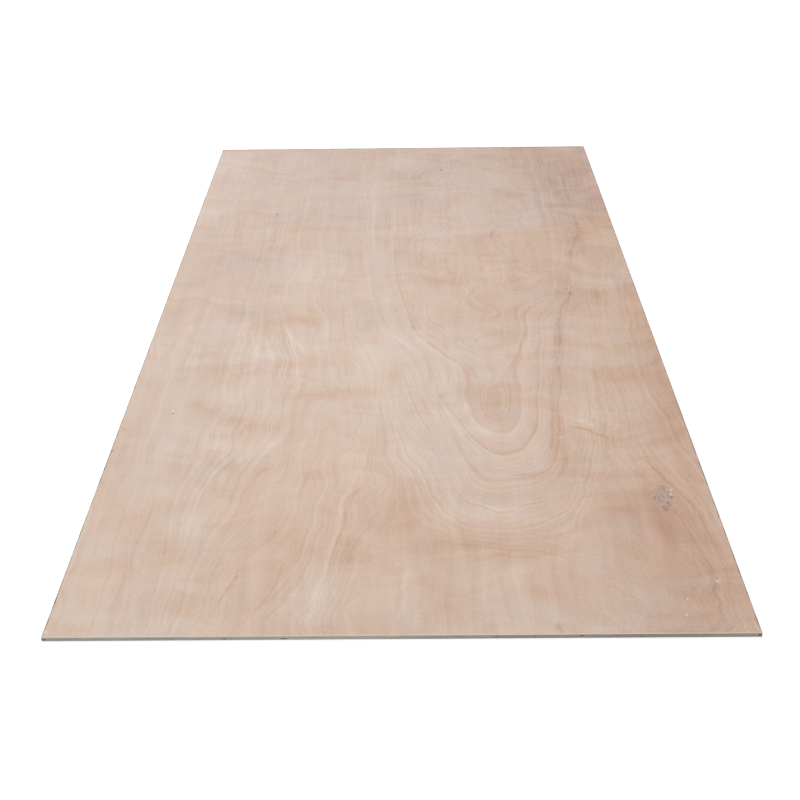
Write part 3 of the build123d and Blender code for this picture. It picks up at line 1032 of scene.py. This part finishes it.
def ring_lines(paint, ring, seed, slope, clear, patchy):
    """The growth rings: how much they deepen the colour, and the finer ones for the relief."""
    start, end = RING_RANGE
    drawn = paint.colours((ring - start) / (end - start), list(ring_stops())) - 0.5
    bands = paint.noise(ring + seed, 2.5, 0.55, 22.0, "1D")
    lines = paint.noise(ring + seed, 3.0, 0.6, 95.0, "1D")
    hairs = paint.noise(ring + seed, 1.0, 0.5, 380.0, "1D")
    creases = paint.noise(ring + seed, 1.0, 0.5, 60.0, "1D")
    creases = creases.ramp(-0.03, 0.0) * creases.ramp(0.09, 0.01)
    steep, level = slope.ramp(0.12, 0.55), slope.ramp(0.04, 0.2) * slope.ramp(0.8, 0.3)
    deeper = (
        drawn * clear * 0.5 + bands * 0.26 + lines * (clear * 0.08 + patchy * 0.28 + 0.17)
        + hairs * 0.12 + creases * (clear * 0.06 + 0.03)
    )
    return deeper * steep + hairs * level * 0.34, lines * steep


def fibre_lines(paint, x, y, seed):
    """Streaks, threads and fine fibres, which run along the sheet and bend a little."""
    bend = paint.noise_over(x, y, (2.2, 1.1), seed) * 0.05
    x = x + bend + paint.noise_over(x, y, (7, 5), seed) * 0.055
    streaks = paint.noise_over(x, y, (40, 2.6), seed, 3.0, 0.6)
    threads = paint.noise_over(x, y, (150, 7), seed)
    fibres = paint.noise_over(x, y, (520, 18), seed)
    return streaks, threads, fibres


def cross_tones(paint, x, y, seed):
    """Clouds, and the mottle and ripple that lie across the fibres."""
    clouds = paint.noise_over(x, y, (6, 3.5), seed + 5, 3.0)
    sway = paint.noise_over(x, y, (3.5, 3.5), seed + 2) * 6
    mottle = paint.noise(paint.vector(x * 8, y * 19 + sway, seed + 7), 2.0).ramp(-0.13, 0.17) - 0.5
    ripple = paint.noise(paint.vector(x * 14, y * 50 + sway * 3, seed + 8), 2.0)
    return clouds, mottle, ripple


def drawn_lines(paint, x, y, wander, patchy):
    """The growth lines that stand out, with the painted glints among them: they wander, and come
    and go along their length.
    """
    broken = paint.noise_over(x, y, (30, 14), 4.0, 3.0, 0.6)
    total = 0.0
    for index in range(len(fields)):
        off = paint.read(f"line_{index}") + wander
        total = off.ramp(-1.0, 0.1) * off.ramp(2.6, 0.3) * paint.read(f"dark_{index}") + total
    return total * (patchy * 0.5 + broken * 3.0 + 0.5).math("MAXIMUM", 0.0)


def knot_and_marks(paint, wood, at, x, y):
    """The knot and the marks laid over the wood, and the relief of the knot."""
    wander = paint.noise_over(x, y, (50, 26), 0.0, 4.0, 0.6) * 1.8
    out_x, out_y = (x - KNOT[0]) / KNOT_REACH[0], (y - KNOT[1]) / KNOT_REACH[1]
    out = (out_x * out_x + out_y * out_y).math("SQRT") + wander
    grey = paint.noise_over(x, y, (130, 70), 0.0, 3.0, 0.6)
    knot = paint.mix(grey.ramp(-0.2, 0.2), linear(196, 169, 156), linear(166, 136, 124))
    wood = paint.mix(out.ramp(1.2, 0.5) * 0.85, wood, knot)
    wood = paint.mix(paint.marks(at, DARK_MARKS) * 0.5, wood, linear(122, 94, 86))
    wood = paint.mix(paint.marks(at, RED_MARKS) * 0.4, wood, linear(190, 128, 114))
    wood = paint.mix(paint.marks(at, PALE_MARKS) * 0.55, wood, linear(240, 226, 208))
    return wood, out.ramp(1.1, 0.6) * grey


def border_tones(paint, wood, x, y):
    """A face's border: darker along the sides and the far end, paler along the near end."""
    ragged = paint.noise_over(x, y, (30, 30), 0.0, 3.0, 0.6)
    darker_rim = (x.math("ABSOLUTE") - (high.x - 0.0024) + ragged * 0.004).ramp(0.0, 0.0012)
    darker_rim = darker_rim.math("MAXIMUM", (y - (high.y - 0.0065) + ragged * 0.010).ramp(0.0, 0.003))
    pale = ((high.y - 0.0036) + y + ragged * 0.006).ramp(0.0, -0.0015)
    # Darker along the sides and the far end, and paler along the near end, within a few millimetres
    # of the border.
    wood = paint.mix(darker_rim * (ragged * 1.5 + 0.65), wood, linear(106, 92, 82))
    return paint.mix(pale * (ragged * 1.5 + 0.55), wood, linear(224, 212, 198))


def face_veneer(name, base_depth, seed, marked):
    """Sanded face veneer: its rings, fibres, cross ripple, pores and soft tones."""
    paint = Veneer(name)
    x, y, _, at = paint.place()
    slope, clear = paint.read("slope"), paint.read("clear")
    shiver = paint.noise_over(x, y, (38, 7), seed)
    drift = paint.noise_over(x, y, (4, 5), seed) * clear.ramp(0.8, 0.1) * 0.05
    jagged = paint.noise_over(x, y, (48, 30), seed, 2.0, 0.6) * x.ramp(0.24, 0.36)
    ring = paint.read("growth") + drift + shiver * 0.0022 + jagged * 0.01
    patchy = paint.noise_over(x, y, (4, 3), seed + 3).ramp(-0.2, 0.2)
    rings, lines = ring_lines(paint, ring, seed, slope, clear, patchy)
    streaks, threads, fibres = fibre_lines(paint, x, y, seed)
    clouds, mottle, ripple = cross_tones(paint, x, y, seed)
    speckle = paint.noise_over(x, y, (220, 150), seed, 3.0, 0.7)
    pores = paint.noise_over(x, y, (900, 30), seed, 1.0).ramp(0.16, 0.28)

    depth = (
        paint.read("deeper") + base_depth + rings
        + streaks * (patchy * 0.4 + 0.17) + threads * 0.14 + fibres * 0.1
        + clouds * 0.40 + mottle * 0.11 + ripple * 0.16 + speckle * 0.46 + pores * 0.08
    )
    if marked:
        depth = depth + drawn_lines(paint, x, y, shiver * 0.8 + jagged * 4, patchy)
    hue = paint.noise_over(x, y, (5, 9), seed + 9, 5.0, 0.68) * 1.3
    hue = (hue + paint.read("warmer") * 0.8 + mottle * 0.2 + speckle * 0.9 + 0.5).ramp(0.0, 1.0)
    wood = paint.mix(hue, paint.colours(depth, COOL_WOOD), paint.colours(depth, WARM_WOOD))
    blush = paint.noise_over(x, y, (14, 17), seed + 11, 4.0, 0.7) * 2.4 + depth * 0.3
    wood = paint.mix(blush, wood, BLUSH, "MULTIPLY")
    height = fibres * 0.6 - pores * 0.8 + lines * 0.4
    if marked:
        wood, dent = knot_and_marks(paint, wood, at, x, y)
        height = height - dent
    wood = border_tones(paint, wood, x, y)
    relief = {"Strength": 0.25, "Distance": 0.0003, "Height": height}
    bump = paint.node("ShaderNodeBump", None, relief)
    return paint.finish(wood, 0.62 + fibres * 0.1 + streaks * 0.1, bump)


EDGE_WOOD = [
    (0.0, linear(230, 225, 214)),
    (0.5, linear(196, 193, 184)),
    (1.0, linear(136, 132, 123)),
]


def sawn_edge(name, along_axis, end_grain):
    """Sawn edge: each veneer shows its end grain or its side, with dark glue lines between."""
    paint = Veneer(name)
    x, y, z, _ = paint.place()
    along = (x, y)[along_axis]
    step = (z - (low.z + FACE_VENEER)) / CORE_VENEER
    veneer = step.math("FLOOR")
    within = (step.math("FRACT") - 0.5).math("ABSOLUTE")
    glue = within.ramp(0.5 - 1.6 * GLUE_FILM / CORE_VENEER, 0.5)
    odd = (veneer + 10 + end_grain).math("MODULO", 2)  # 1 where this edge cuts across the fibres
    shade = paint.noise(veneer * 3.7 + along * 1.5, wide="1D")
    streaks = paint.noise(paint.vector(along * 25, z * 4000, veneer), 3.0)
    specks = paint.noise(paint.vector(along * 1400, z * 1400, veneer))
    saw = paint.noise(paint.vector(along * 600, z * 40))
    # Random tone along the edge, growing darker from its middle towards its right and far ends.
    darker_drift = paint.noise(along, 3.0, 0.6, 4.0, "1D") + along.ramp(0.0, 0.5) * 0.35
    depth = (
        0.35 + odd * 0.20 + shade * 0.6 + streaks * (1 - odd) * 0.7
        + specks * odd * 0.8 + saw * 0.3 + darker_drift * 0.6
    )
    wood = paint.colours(depth, EDGE_WOOD)
    wood = paint.mix(glue * 0.5, wood, linear(122, 108, 94))
    height = (streaks + specks) * 0.4 + saw * 0.6 - glue
    sockets = {"Strength": 0.5, "Distance": 0.0004, "Height": height}
    return paint.finish(wood, 0.78 + specks * 0.2, paint.node("ShaderNodeBump", None, sockets))


def gap_inside():
    """The inside of a core gap: raw, dusty wood, with the pocket's shade painted into its dark
    colour.
    """
    paint = Veneer("core_gap")
    x, y, z, _ = paint.place()
    dusty_shade = paint.noise_over(x, y, (200, 200), z * 800) + 0.5
    # Painted shade: the two dark browns stand for dusty wood in the shade of the pocket.
    return paint.finish(paint.mix(dusty_shade, linear(58, 50, 43), linear(92, 80, 68)), 0.9 + dusty_shade * 0.05)


finishes = [
    face_veneer("top_veneer", base_depth=0.38, seed=0.0, marked=True),
    face_veneer("back_veneer", base_depth=0.45, seed=31.0, marked=False),
    sawn_edge("sawn_ends", along_axis=0, end_grain=1),
    sawn_edge("sawn_sides", along_axis=1, end_grain=0),
    gap_inside(),
]
TOP, BACK, ENDS, SIDES, GAP = range(len(finishes))
for finish in finishes:
    sheet.data.materials.append(finish)


FLAT_ENOUGH = 0.3  # how much a part of a face looks up or down, even in a chip or the crack
EDGE_SKIN = 0.0015  # what lies deeper behind a sawn edge than this is in a gap


def finish_of(face):
    middle = face.center
    if face.normal.z > FLAT_ENOUGH and middle.z > high.z - CORE_VENEER:
        return TOP
    if face.normal.z < -FLAT_ENOUGH and middle.z < low.z + CORE_VENEER:
        return BACK
    if max(abs(middle.x) - high.x, abs(middle.y) - high.y) < -EDGE_SKIN:
        return GAP
    return ENDS if high.y - abs(middle.y) < high.x - abs(middle.x) else SIDES


for face in sheet.data.polygons:
    face.material_index = finish_of(face)

# The sheet laid out flat, as a square map of 1024 pixels: both faces side by side, and below them
# a strip for each sawn edge. The walls of a core gap lie inside its own mouth on the strip.
MAP_PIXELS = 1024
FACE_ROWS = (84, 1020)
LEFT_HALF, RIGHT_HALF, WHOLE = (4, 508), (516, 1020), (4, 1020)
STRIPS = {(1, -1): (LEFT_HALF, (58, 80)), (1, 1): (RIGHT_HALF, (58, 80)),
          (0, -1): (WHOLE, (4, 26)), (0, 1): (WHOLE, (31, 53))}
MAP_ROOM = 1e-4  # how far outside a gap's own space a face of it may lie
MAP_TAPER = 0.5  # height of a gap's inner end on the strip as a share of its mouth


def spread(value, start, end, pixels):
    """A value between start and end as its place on the map."""
    first, last = pixels
    return (first + (last - first) * (value - start) / (end - start)) / MAP_PIXELS


def map_edge(corner, across, side, height):
    columns, rows = STRIPS[across, int(math.copysign(1, side))]
    along = 1 - across
    place_along = spread(corner[along], low[along], high[along], columns)
    return place_along, spread(height, low.z, high.z, rows)


def gap_of(middle):
    """The gap that a place inside the sheet is in: its edge, depth and middle height."""
    for across, side, gaps in EDGES:
        for gap in gaps:
            left, right, bottom, top = mouth_of(across, gap)
            in_reach = abs(middle[across] - side) < gap[-1] + MAP_ROOM
            between = left - MAP_ROOM < middle[1 - across] < right + MAP_ROOM
            if in_reach and between and bottom - MAP_ROOM < middle[2] < top + MAP_ROOM:
                return across, side, gap[-1], (bottom + top) / 2


layout = sheet.data.uv_layers.new(name="OFBake")
for face in sheet.data.polygons:
    finish, middle = face.material_index, face.center
    gap = gap_of(middle) if finish == GAP else None
    for loop in face.loop_indices:
        corner = points[sheet.data.loops[loop].vertex_index]
        if finish in (TOP, BACK):
            columns = LEFT_HALF if finish == TOP else RIGHT_HALF
            place_across = spread(corner[0], low.x, high.x, columns)
            place = place_across, spread(corner[1], low.y, high.y, FACE_ROWS)
        elif gap:
            across, side, depth, centre = gap
            inside = min(abs(corner[across] - side) / depth, 1)
            height = centre + (corner[2] - centre) * (1 - (1 - MAP_TAPER) * inside)
            place = map_edge(corner, across, side, height)
        else:
            across = 1 if finish == ENDS else 0
            place = map_edge(corner, across, middle[across], corner[2])
        layout.data[loop].uv = place

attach(sheet, "root")
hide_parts("plywood_sheet")
